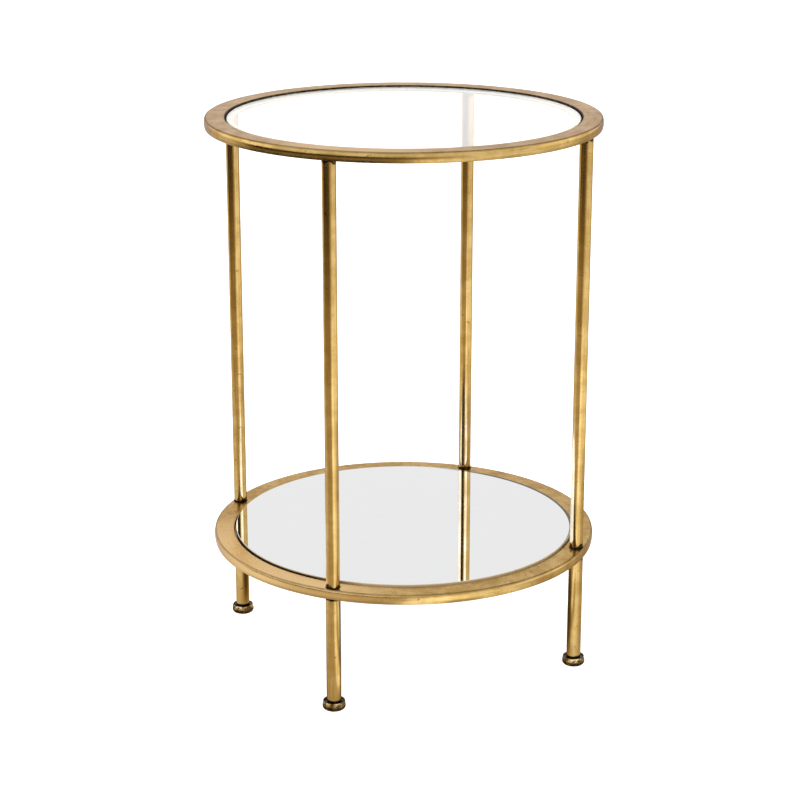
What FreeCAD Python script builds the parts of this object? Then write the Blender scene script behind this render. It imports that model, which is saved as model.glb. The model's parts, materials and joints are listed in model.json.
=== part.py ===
import FreeCAD
import Part

import math
import os

# A round side table of two tiers. Two hoops of flat bar, one above the other, are held by four posts
# and stand on four legs with turned feet. The top hoop holds a glass pane and the lower one a mirror.
# It comes apart: studs join hoops, posts and legs, the panes lie loose on ledges, the feet screw in.
# Sizes are in millimetres. The origin is on the floor, on the table's own axis, and +Z is up.

# Whole table
TABLE_HEIGHT = 540.0  # floor to the upper face of the top hoop
SHELF_HEIGHT = 125.0  # floor to the upper face of the lower hoop
HOOP_DIAMETER = 380.0  # outside of both hoops

# Flat bar of the hoops
BAR_WIDTH = 20.0
BAR_THICKNESS = 10.0
BAR_CROWN_DEPTH = 0.8  # how far the hoop's outer side swells out at half height
BAR_EDGE_RADIUS = 1.2

# Ledge welded inside each hoop
LEDGE_WIDTH = 8.0
LEDGE_THICKNESS = 2.0
GLASS_LEDGE_INSET = 0.5  # the ledge's underside above the bar's underside, in the top hoop
MIRROR_LEDGE_INSET = 3.5  # the same in the lower hoop, where it lifts the mirror proud of the bar
WELD_LINE = 0.05  # radial joint line between ledge and bar

# Panes and what lies under them
GLASS_THICKNESS = 5.0
MIRROR_THICKNESS = 5.0
PANE_GAP = 1.5  # radial, between pane and bar
PANE_ARRIS = 0.5  # ground chamfer along a pane's edges
FILM_THICKNESS = 0.3
FILM_MARGIN = 1.0  # the film stops this far inside the mirror's edge
BUMPER_COUNT = 4
BUMPER_DIAMETER = 5.0
BUMPER_TAPER = 0.5  # how much smaller a bumper's radius is at the top
BUMPER_THICKNESS = 1.0

# Tubes
POST_DIAMETER = 13.0
POST_WALL = 1.2
LEG_DIAMETER = 14.0
LEG_WALL = 1.2
TUBE_SETBACK = 8.5  # from the hoop's outer face in to the axis of post and leg
TUBE_END_CHAMFER = 0.7

# Threaded plugs in the tube ends, and the studs between them
PLUG_LENGTH = 14.0
PLUG_CLEARANCE = 0.05  # radial, plug in tube
THREAD_SHARE = 5 / 14  # thread diameter over the leg's diameter: M5 in a 14 mm leg
THREAD_CLEARANCE = 0.05  # radial, stud in its threaded hole
STUD_REACH = 12.0  # length of a stud inside a plug
STUD_CHAMFER = 0.8
STUD_HOLE_CLEARANCE = 0.25  # radial, stud through the lower hoop
STUD_END_GAP = 0.3  # free depth past the end of a stud in a blind hole
TOP_COVER = 2.5  # bar left above the blind holes of the top hoop

# Turned feet
DISH_CLEARANCE = 2.3  # radial, from the leg to the wall of the dish that it stands in
DISH_DEPTH = 0.8
LIP_WIDTH = 1.2
LIP_ROUND = 0.4
RIM_HEIGHT = 5.2
RIM_FLARE = 0.7  # how much the rim widens downwards
UNDERCUT_HEIGHT = 3.6
UNDERCUT_DEPTH = 3.1
UNDERCUT_CROWN_DEPTH = 0.85  # how far the undercut swells out from a straight taper
FOOT_GAP = 0.3  # between the dish and the leg, with the foot screwed right in
LEVEL_TRAVEL = 8.0  # how far a foot screws out
STUD_FLOOR = 2.2  # metal between the foot's stud hole and its glide
GLIDE_BORDER = 1.4  # metal round the glide
GLIDE_THICKNESS = 2.0
GLIDE_PROUD = 0.8  # how far the glide stands below the metal
GLIDE_CLEARANCE = 0.05
GLIDE_CHAMFER = 0.4

# Corners of the table, anticlockwise from above, and the first one's angle from +X in degrees
CORNERS = ("back_right", "back_left", "front_left", "front_right")
FIRST_CORNER_ANGLE = 45.0

# Hoops
hoop_radius = HOOP_DIAMETER / 2
hoop_inner_radius = hoop_radius - BAR_WIDTH
tube_circle_radius = hoop_radius - TUBE_SETBACK
top_underside = TABLE_HEIGHT - BAR_THICKNESS
shelf_underside = SHELF_HEIGHT - BAR_THICKNESS

# Ledges and panes
ledge_outer_radius = hoop_inner_radius - WELD_LINE
ledge_inner_radius = hoop_inner_radius - LEDGE_WIDTH
pane_radius = hoop_inner_radius - PANE_GAP
bumper_circle_radius = (ledge_inner_radius + pane_radius) / 2
glass_ledge_bottom = top_underside + GLASS_LEDGE_INSET
mirror_ledge_bottom = shelf_underside + MIRROR_LEDGE_INSET
pane_rise = LEDGE_THICKNESS + BUMPER_THICKNESS  # a pane's seat above its ledge's underside

# Threads
stud_radius = THREAD_SHARE * LEG_DIAMETER / 2
thread_radius = stud_radius + THREAD_CLEARANCE

# Feet, from the floor up
foot_base = GLIDE_PROUD
rim_bottom = foot_base + UNDERCUT_HEIGHT
foot_top = rim_bottom + RIM_HEIGHT
dish_floor = foot_top - DISH_DEPTH
leg_bottom = dish_floor + FOOT_GAP
foot_stud_hole_bottom = GLIDE_THICKNESS + STUD_FLOOR
foot_stud_top = leg_bottom + LEVEL_TRAVEL + STUD_REACH

# Feet, from the leg outwards
dish_radius = LEG_DIAMETER / 2 + DISH_CLEARANCE
foot_top_radius = dish_radius + LIP_WIDTH
rim_radius = foot_top_radius + RIM_FLARE
foot_base_radius = rim_radius - UNDERCUT_DEPTH
glide_radius = foot_base_radius - GLIDE_BORDER


def turned(start, *steps):
    """Solid of revolution about Z of a closed outline of (radius, height) points.

    A step is the end of a line, or a pair of points: the middle and the end of an arc.
    """
    edges = []
    here = FreeCAD.Vector(start[0], 0, start[1])
    first = here
    for step in steps:
        if isinstance(step[0], tuple):
            middle, end = [FreeCAD.Vector(r, 0, z) for r, z in step]
            edges.append(Part.Arc(here, middle, end).toShape())
        else:
            end = FreeCAD.Vector(step[0], 0, step[1])
            edges.append(Part.makeLine(here, end))
        here = end
    edges.append(Part.makeLine(here, first))
    face = Part.Face(Part.Wire(edges))
    return face.revolve(FreeCAD.Vector(0, 0, 0), FreeCAD.Vector(0, 0, 1), 360)


def cylinder(radius, bottom, top):
    return Part.makeCylinder(radius, top - bottom, FreeCAD.Vector(0, 0, bottom))


def on_circle(shape, radius, degrees):
    """The shape moved out from the table's axis."""
    angle = math.radians(degrees)
    return shape.translated(FreeCAD.Vector(radius * math.cos(angle), radius * math.sin(angle), 0))


def around(shape, radius, count, first_angle=0.0):
    """Copies of the shape evenly spaced on a circle."""
    return [on_circle(shape, radius, first_angle + 360 * i / count) for i in range(count)]


def at_corners(shape):
    """One copy of the shape on each corner's axis, in the order of CORNERS."""
    return around(shape, tube_circle_radius, len(CORNERS), FIRST_CORNER_ANGLE)


def hoop(underside, drill):
    """Bar rolled into a hoop: a crowned outer side, soft edges, and a hole at each corner."""
    top = underside + BAR_THICKNESS
    shoulder = hoop_radius - BAR_CROWN_DEPTH
    crown = (hoop_radius, underside + BAR_THICKNESS / 2)
    bar = turned(
        (hoop_inner_radius, underside),
        (shoulder, underside),
        (crown, (shoulder, top)),
        (hoop_inner_radius, top),
    )
    circles = [edge for edge in bar.Edges if isinstance(edge.Curve, Part.Circle)]
    rims = [edge for edge in circles if abs(edge.Curve.Axis.z) > 0.5]
    return bar.makeFillet(BAR_EDGE_RADIUS, rims).cut(at_corners(drill))


def ledge(bottom):
    """Flat strip inside a hoop, for a pane to lie on."""
    strip = cylinder(ledge_outer_radius, bottom, bottom + LEDGE_THICKNESS)
    return strip.cut(cylinder(ledge_inner_radius, bottom, bottom + LEDGE_THICKNESS))


def bumpers(ledge_bottom):
    """Soft buttons on a ledge, midway between its inner edge and the pane's edge."""
    top_radius = BUMPER_DIAMETER / 2 - BUMPER_TAPER
    seat = FreeCAD.Vector(0, 0, ledge_bottom + LEDGE_THICKNESS)
    button = Part.makeCone(BUMPER_DIAMETER / 2, top_radius, BUMPER_THICKNESS, seat)
    return Part.makeCompound(around(button, bumper_circle_radius, BUMPER_COUNT))


def pane(bottom, thickness):
    """Round sheet with a ground chamfer on both edges."""
    top = bottom + thickness
    return turned(
        (0, bottom),
        (pane_radius - PANE_ARRIS, bottom),
        (pane_radius, bottom + PANE_ARRIS),
        (pane_radius, top - PANE_ARRIS),
        (pane_radius - PANE_ARRIS, top),
        (0, top),
    )


def tube(diameter, wall, bottom, top):
    """Round tube with chamfered ends."""
    outer = diameter / 2
    inner = outer - wall
    return turned(
        (inner, bottom),
        (outer - TUBE_END_CHAMFER, bottom),
        (outer, bottom + TUBE_END_CHAMFER),
        (outer, top - TUBE_END_CHAMFER),
        (outer - TUBE_END_CHAMFER, top),
        (inner, top),
    )


def plug(diameter, wall, bottom):
    """Threaded plug that fills the end of a tube."""
    radius = diameter / 2 - wall - PLUG_CLEARANCE
    body = cylinder(radius, bottom, bottom + PLUG_LENGTH)
    return body.cut(cylinder(thread_radius, bottom, bottom + PLUG_LENGTH))


def stud(bottom, top):
    """Threaded rod, smooth here, with chamfered ends."""
    return turned(
        (0, bottom),
        (stud_radius - STUD_CHAMFER, bottom),
        (stud_radius, bottom + STUD_CHAMFER),
        (stud_radius, top - STUD_CHAMFER),
        (stud_radius - STUD_CHAMFER, top),
        (0, top),
    )


def foot():
    """Turned foot: a lipped dish for the leg, a flared rim, a swelling undercut, a seat for the glide."""
    half = math.sqrt(0.5) * LIP_ROUND
    lip_outer = foot_top_radius - LIP_ROUND
    lip_inner = dish_radius + LIP_ROUND
    lip_centre = foot_top - LIP_ROUND
    undercut_length = math.hypot(UNDERCUT_DEPTH, UNDERCUT_HEIGHT)
    undercut_middle = (
        (foot_base_radius + rim_radius) / 2 + UNDERCUT_CROWN_DEPTH * UNDERCUT_HEIGHT / undercut_length,
        (foot_base + rim_bottom) / 2 - UNDERCUT_CROWN_DEPTH * UNDERCUT_DEPTH / undercut_length,
    )
    seat_radius = glide_radius + GLIDE_CLEARANCE
    return turned(
        (0, GLIDE_THICKNESS),
        (seat_radius, GLIDE_THICKNESS),
        (seat_radius, foot_base),
        (foot_base_radius, foot_base),
        (undercut_middle, (rim_radius, rim_bottom)),
        (foot_top_radius, lip_centre),
        ((lip_outer + half, lip_centre + half), (lip_outer, foot_top)),
        (lip_inner, foot_top),
        ((lip_inner - half, lip_centre + half), (dish_radius, lip_centre)),
        (dish_radius, dish_floor),
        (thread_radius, dish_floor),
        (thread_radius, foot_stud_hole_bottom),
        (0, foot_stud_hole_bottom),
    )


def glide():
    """Plastic disc let into the underside of a foot."""
    return turned(
        (0, 0),
        (glide_radius - GLIDE_CHAMFER, 0),
        (glide_radius, GLIDE_CHAMFER),
        (glide_radius, GLIDE_THICKNESS),
        (0, GLIDE_THICKNESS),
    )


def tiers():
    """Both hoops with their ledges, bumpers and panes, and the studs that the hoops hold."""
    blind_top = TABLE_HEIGHT - TOP_COVER
    blind_hole = cylinder(thread_radius, top_underside, blind_top)
    through_hole = cylinder(stud_radius + STUD_HOLE_CLEARANCE, shelf_underside, SHELF_HEIGHT)
    top_stud = stud(top_underside - STUD_REACH, blind_top - STUD_END_GAP)
    joining_stud = stud(shelf_underside - STUD_REACH, SHELF_HEIGHT + STUD_REACH)
    film_bottom = mirror_ledge_bottom + pane_rise
    mirror_bottom = film_bottom + FILM_THICKNESS
    return {
        "top_ring": hoop(top_underside, blind_hole),
        "top_ledge": ledge(glass_ledge_bottom),
        "glass_bumpers": bumpers(glass_ledge_bottom),
        "top_glass": pane(glass_ledge_bottom + pane_rise, GLASS_THICKNESS),
        "top_studs": Part.makeCompound(at_corners(top_stud)),
        "lower_ring": hoop(shelf_underside, through_hole),
        "lower_ledge": ledge(mirror_ledge_bottom),
        "mirror_bumpers": bumpers(mirror_ledge_bottom),
        "mirror_film": cylinder(pane_radius - FILM_MARGIN, film_bottom, mirror_bottom),
        "mirror_pane": pane(mirror_bottom, MIRROR_THICKNESS),
        "joining_studs": Part.makeCompound(at_corners(joining_stud)),
    }


def plugs():
    """The plugs in the ends of the posts and legs, a group for each end."""
    ends = {
        "post_top_plugs": (POST_DIAMETER, POST_WALL, top_underside - PLUG_LENGTH),
        "post_bottom_plugs": (POST_DIAMETER, POST_WALL, SHELF_HEIGHT),
        "leg_top_plugs": (LEG_DIAMETER, LEG_WALL, shelf_underside - PLUG_LENGTH),
        "leg_bottom_plugs": (LEG_DIAMETER, LEG_WALL, leg_bottom),
    }
    return {name: Part.makeCompound(at_corners(plug(*end))) for name, end in ends.items()}


def corner_pieces():
    """Post, leg, foot, foot stud and glide, each a node of its own at every corner."""
    pieces = {
        "post": tube(POST_DIAMETER, POST_WALL, SHELF_HEIGHT, top_underside),
        "leg": tube(LEG_DIAMETER, LEG_WALL, leg_bottom, shelf_underside),
        "foot": foot(),
        "foot_stud": stud(foot_stud_hole_bottom + STUD_END_GAP, foot_stud_top),
        "foot_glide": glide(),
    }
    return {
        f"{piece}_{corner}": copy
        for piece, shape in pieces.items()
        for corner, copy in zip(CORNERS, at_corners(shape))
    }


nodes = {**tiers(), **plugs(), **corner_pieces()}
os.makedirs("parts", exist_ok=True)
for name, shape in nodes.items():
    shape.exportStep(f"parts/{name}.step")
    state = "valid" if shape.isValid() else "INVALID"
    print(name, len(shape.Solids), "solids", round(shape.Volume), "mm3", state)
print(len(nodes), "nodes")
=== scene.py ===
# %% [markdown]
# # A round side table in aged gold, with a glass top and a mirror shelf
#
# The table is two hoops of flat bar, four slim posts, four short legs on turned feet, a clear pane and a
# mirror. Nearly every piece is round, so nearly every piece can be made in the way of a lathe: an outline
# is carried round an upright axis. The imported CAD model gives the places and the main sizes, and each
# surface made here stands in for one of its nodes.

# %% The fixed frame
import json
import math
from collections import namedtuple

import bmesh
import bpy
import numpy as np
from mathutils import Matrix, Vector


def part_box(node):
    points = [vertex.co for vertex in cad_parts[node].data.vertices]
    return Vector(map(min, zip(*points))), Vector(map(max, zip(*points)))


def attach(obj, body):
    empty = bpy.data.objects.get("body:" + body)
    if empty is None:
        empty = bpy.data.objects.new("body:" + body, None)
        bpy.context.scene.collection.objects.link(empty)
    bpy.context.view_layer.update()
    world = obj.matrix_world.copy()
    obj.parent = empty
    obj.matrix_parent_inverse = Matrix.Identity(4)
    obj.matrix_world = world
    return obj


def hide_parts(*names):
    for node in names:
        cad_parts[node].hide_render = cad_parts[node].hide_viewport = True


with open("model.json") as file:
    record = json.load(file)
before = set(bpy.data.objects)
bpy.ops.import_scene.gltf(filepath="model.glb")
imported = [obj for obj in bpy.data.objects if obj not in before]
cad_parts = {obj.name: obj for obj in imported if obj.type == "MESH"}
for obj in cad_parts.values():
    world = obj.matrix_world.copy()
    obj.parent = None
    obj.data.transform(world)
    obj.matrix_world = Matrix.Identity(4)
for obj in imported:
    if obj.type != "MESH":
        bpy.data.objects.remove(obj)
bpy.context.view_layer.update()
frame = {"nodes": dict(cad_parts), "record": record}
MM = 0.001
CORNERS = ("back_right", "back_left", "front_left", "front_right")
body_of = {n: body for body, nodes in frame["record"]["behaviour"]["bodies"].items() for n in nodes}

# %% [markdown]
# ## Camera
#
# The picture was taken from a little above the table top, with a long lens, turned so that one post stands
# left of the middle and its neighbours at the sides. The stand point is written as a distance from the
# table's axis, a height and a turn about the axis, because those are what a photographer would measure on
# the studio floor.

# %% Camera at the photograph's angle
CAMERA_DISTANCE = 2.063  # metres, from the table's axis
CAMERA_HEIGHT = 0.905
CAMERA_TURN = math.radians(-23.69)  # about the table's axis, 0 in front
CAMERA_AIM = math.radians(0.1)  # to the left of the axis
CAMERA_DIP = math.radians(17.49)  # below level
LENS_MM = 98.24
SENSOR_MM = 36

scene = bpy.context.scene
camera_data = bpy.data.cameras.new("camera")
camera_data.lens = LENS_MM
camera_data.sensor_width = SENSOR_MM
camera = bpy.data.objects.new("camera", camera_data)
camera.location = (
    CAMERA_DISTANCE * math.sin(CAMERA_TURN),
    -CAMERA_DISTANCE * math.cos(CAMERA_TURN),
    CAMERA_HEIGHT,
)
camera.rotation_euler = (math.pi / 2 - CAMERA_DIP, 0, CAMERA_TURN + CAMERA_AIM)
scene.collection.objects.link(camera)
scene.camera = camera
print("camera at", [round(x, 3) for x in camera.location])

# %% [markdown]
# ## Outlines and surfaces
#
# A lathe needs two things: an outline of radius and height, and a way to carry it round. Blender's Screw
# modifier or the Spin tool could do it, but a grid of points worked out with numpy shows the formula and
# leaves nothing live on the mesh. Real edges are never perfectly sharp, so the outline's corners are
# turned by small arcs, with one extra point beside each arc to keep the flats flat under smooth shading.

# %% Outline with rounded corners
def rounded(corners, radii, steps=6, margin=0.15 * MM):
    """Outline through the corners, each turned by an arc of its own radius.

    The arc touches both sides at radius / tan(half the corner's angle) from the corner. Its centre lies on
    the bisector, at radius / sin(that half). A point stands at the margin before and after each arc.
    A radius of 0 keeps the corner as it is.
    """
    corners = np.asarray(corners, float)
    outline = []
    for i, radius in enumerate(radii):
        corner = corners[i]
        if radius == 0:
            outline.append(corner[None])
            continue
        back, ahead = (corners[j % len(corners)] - corner for j in (i - 1, i + 1))
        back, ahead = back / np.linalg.norm(back), ahead / np.linalg.norm(ahead)
        half = np.arccos(back @ ahead) / 2
        bisector = (back + ahead) / np.linalg.norm(back + ahead)
        centre = corner + bisector * radius / np.sin(half)
        reach = radius / np.tan(half)
        first, last = corner + back * reach - centre, corner + ahead * reach - centre
        sweep = np.pi - 2 * half
        t = np.linspace(0, 1, steps)[:, None]
        arc = centre + (np.sin((1 - t) * sweep) * first + np.sin(t * sweep) * last) / np.sin(sweep)
        outline += [arc[:1] + back * margin, arc, arc[-1:] + ahead * margin]
    return np.vstack(outline)


# %% Mesh over a grid of points
WELD_DISTANCE = 1e-7  # metres
SHARP_ANGLE = math.radians(28)
LATHE_COLUMNS = 96


def skin(name, grids, closed=False, sharp=SHARP_ANGLE):
    """One mesh over grids of points, with a quad between each four neighbours.

    The columns run round the axis and join up. The rows join up too where the outline is closed. Points
    that fall together, as at a pole on the axis, are welded. Edges that turn by more than `sharp` stay sharp.
    """
    mesh = bpy.data.meshes.new(name)
    points, quads, count = [], [], 0
    for grid in grids:
        rows, columns = grid.shape[:2]
        index = np.arange(rows * columns).reshape(rows, columns) + count
        if closed:
            index = np.vstack([index, index[:1]])
        index = np.hstack([index, index[:, :1]])
        quad = (index[:-1, :-1], index[:-1, 1:], index[1:, 1:], index[1:, :-1])
        quads.append(np.stack(quad, axis=-1).reshape(-1, 4))
        points.append(grid.reshape(-1, 3))
        count += rows * columns
    mesh.from_pydata(np.vstack(points), [], np.vstack(quads))
    shell = bmesh.new()
    shell.from_mesh(mesh)
    bmesh.ops.remove_doubles(shell, verts=shell.verts, dist=WELD_DISTANCE)
    bmesh.ops.recalc_face_normals(shell, faces=shell.faces)
    volume = shell.calc_volume(signed=True)
    shell.to_mesh(mesh)
    shell.free()
    mesh.shade_smooth()
    mesh.set_sharp_from_angle(angle=sharp)
    print(f"{name}: {len(mesh.polygons)} faces, {volume * 1e6:.2f} cm3")
    return mesh


def revolve(outline, axis=(0, 0), columns=LATHE_COLUMNS):
    """Grid of an outline carried round an upright axis: x = r cos(angle), y = r sin(angle), z = height."""
    angle = np.linspace(0, 2 * np.pi, columns, endpoint=False)
    radius, height = outline[:, :1], outline[:, 1:]
    x = axis[0] + radius * np.cos(angle)
    y = axis[1] + radius * np.sin(angle)
    return np.stack([x, y, height + 0 * x], axis=-1)


# %% Putting a surface in the place of a CAD node
def stand_in(mesh, node, slot, *materials):
    """The surface takes the node's place: its body and materials, and the node is hidden. The finish slot is
    not used.
    """
    for material in materials:
        mesh.materials.append(material)
    piece = bpy.data.objects.new(mesh.name, mesh)
    scene.collection.objects.link(piece)
    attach(piece, body_of[node])
    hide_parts(node)
    return piece


def off_axis(items, attribute):
    """Distance of points from the table's axis: sqrt(x^2 + y^2) of an attribute of mesh items."""
    points = np.empty(len(items) * 3, np.float32)
    items.foreach_get(attribute, points)
    return np.hypot(*points.reshape(-1, 3)[:, :2].T)


def radii_of(node):
    """Smallest and largest distance of a CAD node's points from the table's axis."""
    distance = off_axis(frame["nodes"][node].data.vertices, "co")
    return float(distance.min()), float(distance.max())


def upright(node):
    """Axis (x, y), radius, lowest and highest point of a round upright CAD node."""
    low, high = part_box(node)
    middle = (low + high) / 2
    return (middle.x, middle.y), (high.x - low.x) / 2, low.z, high.z


post_axis, post_radius, post_bottom, post_top = upright("post_back_right")
_, leg_radius, leg_bottom, leg_top = upright("leg_back_right")
print(f"posts {2 * post_radius / MM:.2f} mm thick, legs {2 * leg_radius / MM:.2f} mm")

# %% [markdown]
# ## Shader helpers
#
# The finishes are built from nodes alone, so that they follow the object at any size of picture. A long
# row of nodes is hard to read when each input takes a line, so one helper makes a node, sets its
# properties and fills its inputs with numbers or with links. A link knows its tree, so the tree isn't named.

# %% Nodes in one line each
def node(kind, *values, near=None, **named):
    """A shader node, in the tree of its first linked value or of what it should be near.

    Values fill its inputs in order, and names fill a property or the input of that name.
    """
    linked = [v for v in (near, *values, *named.values()) if isinstance(v, bpy.types.bpy_struct)]
    tree = linked[0].id_data
    made = tree.nodes.new("ShaderNode" + kind)
    for key in [k for k in named if hasattr(made, k)]:
        setattr(made, key, named.pop(key))
    for place, value in [*enumerate(values), *((k.replace("_", " "), v) for k, v in named.items())]:
        if isinstance(value, bpy.types.NodeSocket):
            tree.links.new(value, made.inputs[place])
        elif value is not None:
            made.inputs[place].default_value = value
    return made


def math_of(operation, *values):
    """Result of a Math node, such as the product or the larger of two values."""
    return node("Math", *values, operation=operation).outputs[0]


def times(first, second):
    """Product of two values."""
    return math_of("MULTIPLY", first, second)


def vector_of(operation, *values):
    """Result of a VectorMath node: a number for a length or a dot product, or else a vector."""
    made = node("VectorMath", *values, operation=operation)
    return made.outputs["Value" if operation in ("LENGTH", "DOT_PRODUCT") else "Vector"]


# %% Ramps, colours and noise
def ramp(value, low, high, at_low=0.0, at_high=1.0):
    """Smooth step of a value from one level at `low` to another at `high`."""
    made = node("MapRange", value, low, high, at_low, at_high, interpolation_type="SMOOTHSTEP")
    return made.outputs[0]


def fade(value, start, reach, full=1.0):
    """Full strength up to a start, falling to nothing between two distances past it."""
    return ramp(value, start + reach[0], start + reach[1], full, 0.0)


def blend(factor, first, second):
    """Mix of two colours: (1 - factor) * first + factor * second."""
    pair = [c if isinstance(c, bpy.types.NodeSocket) else (*c, 1) for c in (first, second)]
    made = node("Mix", factor, None, None, None, None, None, *pair, data_type="RGBA")  # colours come last
    return made.outputs[2]


def noise(place, scale, detail=3.0, roughness=0.5):
    """Soft noise from 0 to 1. Its scale is the number of waves in a unit of the place."""
    made = node("TexNoise", place, Scale=scale, Detail=detail, Roughness=roughness)
    return made.outputs["Fac"]


def stretched(place, factors):
    """A place with each axis multiplied by its own factor, which stretches a noise along the smallest one."""
    return vector_of("MULTIPLY", place, factors)


def levelled(place):
    """The level part of a place or direction, and its height."""
    split = node("SeparateXYZ", place)
    return node("CombineXYZ", split.outputs["X"], split.outputs["Y"]).outputs[0], split.outputs["Z"]


# %% Materials in few lines
def new_material(name):
    """An empty node material, and the place on the object."""
    material = bpy.data.materials.new(name)
    material.use_nodes = True
    material.node_tree.nodes.clear()
    return material, node("TexCoord", near=material.node_tree).outputs["Object"]


def finished(material, shader):
    """The material, with the shader joined to its surface."""
    node("OutputMaterial", shader.outputs[0])
    print(f"{material.name}: {len(material.node_tree.nodes)} nodes")
    return material


def principled(material, tone, rough, relief=None, **inputs):
    """The material with a Principled shader. Relief is the strength, depth and height of a bump."""
    if relief:
        strength, depth, height = relief
        inputs["Normal"] = node("Bump", Strength=strength, Distance=depth, Height=height).outputs[0]
    return finished(material, node("BsdfPrincipled", Base_Color=tone, Roughness=rough, **inputs))


# %% [markdown]
# ## Aged gold
#
# The bar and tube are gilded with a warm metal tone and then rubbed back. What is left is a glossy
# surface with soft clouds of lighter and deeper gold, a faint grain from the rubbing, specks of
# brown, and dark patina in the joints round the posts and legs. Painted shade darkens the tube ends further,
# the dish and undercut of a foot, the gap beside a pane and the hoops' outer edges, and painted light pales a
# few places. A metallic Principled shader gives the gloss. The clouds, grain and specks are noise in
# Object coordinates. The dark places are distances, so they follow the joints exactly.

# %% Tones, and where a place lies on the table
GOLD_LIGHT = (0.760, 0.520, 0.195)
GOLD_DEEP = (0.600, 0.388, 0.120)
GOLD_BROWN = (0.230, 0.120, 0.035)
# pale metal for painted highlights and painted light
PALE_HIGHLIGHT_METAL = (0.970, 0.860, 0.620)
# paler gold for painted light
PAINTED_LIGHT_GOLD = (0.990, 0.690, 0.320)
# near-black of the patina, used for painted shade as well
PATINA_AND_SHADE = (0.020, 0.011, 0.005)
EDGE_TINT = (0.62, 0.57, 0.60, 1)  # what the metal keeps of its mirror white at a glancing angle
Spots = namedtuple("Spots", "place height from_axis from_post")


def around_corner(place):
    """The place, its height, its distance from the table's axis and that from the nearest post's axis.

    The posts stand in a square, so taking x and y without their signs folds all four corners on one.
    """
    flat, height = levelled(place)
    offset = vector_of("SUBTRACT", vector_of("ABSOLUTE", flat), (*post_axis, 0))
    return Spots(place, height, vector_of("LENGTH", flat), vector_of("LENGTH", offset))


# %% Noise in the gold
CLOUDS = (46, 4, 0.6)  # a noise has waves in a metre, detail and roughness
FINE = (420, 3, 0.6)
SPECKS = (260, 2, 0.5)
BLOTCHES = (150, 3, 0.7)
GRAIN = (1, 3, 0.6)  # one wave, because its place is stretched already
CLOUD_LEVELS = (0.36, 0.66)  # where a noise starts to show, and where it shows in full
FINE_LEVELS = (0.25, 0.75)
SPECK_LEVELS = (0.66, 0.76)
BLOTCH_LEVELS = (0.45, 0.68)
GRAIN_LEVELS = (0.3, 0.8)
WORN_LEVELS = (0.52, 0.74)

# %% Aged gold on hoops, tubes and feet
SPECK_DEPTH = 0.75
BLOTCH_DEPTH = 2.2  # per unit of dullness
GRAIN_DEPTH = 0.45
SMOOTHEST, ROUGHEST = 0.09, 0.19  # along the grain
CLOUD_ROUGHNESS = 0.04
DARK_PLACE_ROUGHNESS = 0.22
BAR_RELIEF = 0.12
RELIEF_DEPTH = 0.25 * MM
GRAIN_RELIEF = 0.6  # share of the grain in the relief
RAGGED = (0.75, 1.15)  # what the fine noise makes of the patina and painted shade, at least and at most
COAT, COAT_ROUGHNESS = 0.03, 0.1


def aged_gold(name, dark_places, grain_place, painted_light=None, dull_places=None, relief=BAR_RELIEF):
    """Metallic gold: clouds of two tones, rubbed grain, brown specks, and patina and painted shade in the
    dark places.

    Painted light is a pair: the places painted paler as light, and their colour. Dull places are rougher and
    blotched.
    """
    material, place = new_material(name)
    spots = around_corner(place)
    clouds = ramp(noise(place, *CLOUDS), *CLOUD_LEVELS)
    fine = noise(place, *FINE)
    grain = noise(grain_place(spots), *GRAIN)
    specks = ramp(noise(place, *SPECKS), *SPECK_LEVELS, 0.0, SPECK_DEPTH)
    worn = times(ramp(grain, *WORN_LEVELS), GRAIN_DEPTH)
    gold = blend(clouds, GOLD_DEEP, GOLD_LIGHT)
    gold = blend(math_of("MAXIMUM", specks, worn), gold, GOLD_BROWN)
    if dull_places:
        dull = dull_places(spots)
        blotches = ramp(noise(place, *BLOTCHES), *BLOTCH_LEVELS, 0.0, BLOTCH_DEPTH)
        gold = blend(times(dull, blotches), gold, GOLD_BROWN)
    if painted_light:
        lit_places, lit_colour = painted_light
        # painted light: paler metal laid where light falls
        gold = blend(lit_places(spots), gold, lit_colour)
    ragged = ramp(fine, *FINE_LEVELS, *RAGGED)
    # the dark places hold real patina and painted shade alike
    patina_and_shade = node("Clamp", times(dark_places(spots), ragged)).outputs[0]
    colour = blend(patina_and_shade, gold, PATINA_AND_SHADE)
    uneven = ramp(grain, *GRAIN_LEVELS, SMOOTHEST, ROUGHEST)
    uneven = math_of("ADD", uneven, ramp(clouds, 0, 1, CLOUD_ROUGHNESS, 0.0))
    if dull_places:
        uneven = math_of("ADD", uneven, dull)
    rough = math_of("MULTIPLY_ADD", patina_and_shade, DARK_PLACE_ROUGHNESS, uneven)
    surface = math_of("MULTIPLY_ADD", grain, GRAIN_RELIEF, fine)
    return principled(
        material, colour, rough, (relief, RELIEF_DEPTH, surface),
        Metallic=1.0, Specular_Tint=EDGE_TINT, Coat_Weight=COAT, Coat_Roughness=COAT_ROUGHNESS,
    )


# %% Grain on hoops, tubes and feet
HOOP_GRAIN = (14, 14, 0)
HOOP_GRAIN_ACROSS = 900
TUBE_GRAIN = (700, 700, 22)
LATHE_GRAIN = 2600


def grain_round_axis(spots):
    """Noise place for streaks that run round the table: slow along the angle, quick in radius and height."""
    place, height, from_axis, _ = spots
    turn = stretched(vector_of("NORMALIZE", place), HOOP_GRAIN)
    rise = times(height, HOOP_GRAIN_ACROSS)
    across = math_of("MULTIPLY_ADD", from_axis, HOOP_GRAIN_ACROSS, rise)
    return vector_of("ADD", turn, node("CombineXYZ", Z=across).outputs[0])


def grain_upright(spots):
    """Noise place for streaks that run up the tube."""
    return stretched(spots.place, TUBE_GRAIN)


def grain_turned(spots):
    """Noise place for the fine rings that a lathe tool leaves round a foot."""
    _, height, _, from_post = spots
    out, up = (times(way, LATHE_GRAIN) for way in (from_post, height))
    return node("CombineXYZ", out, up).outputs[0]
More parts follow.
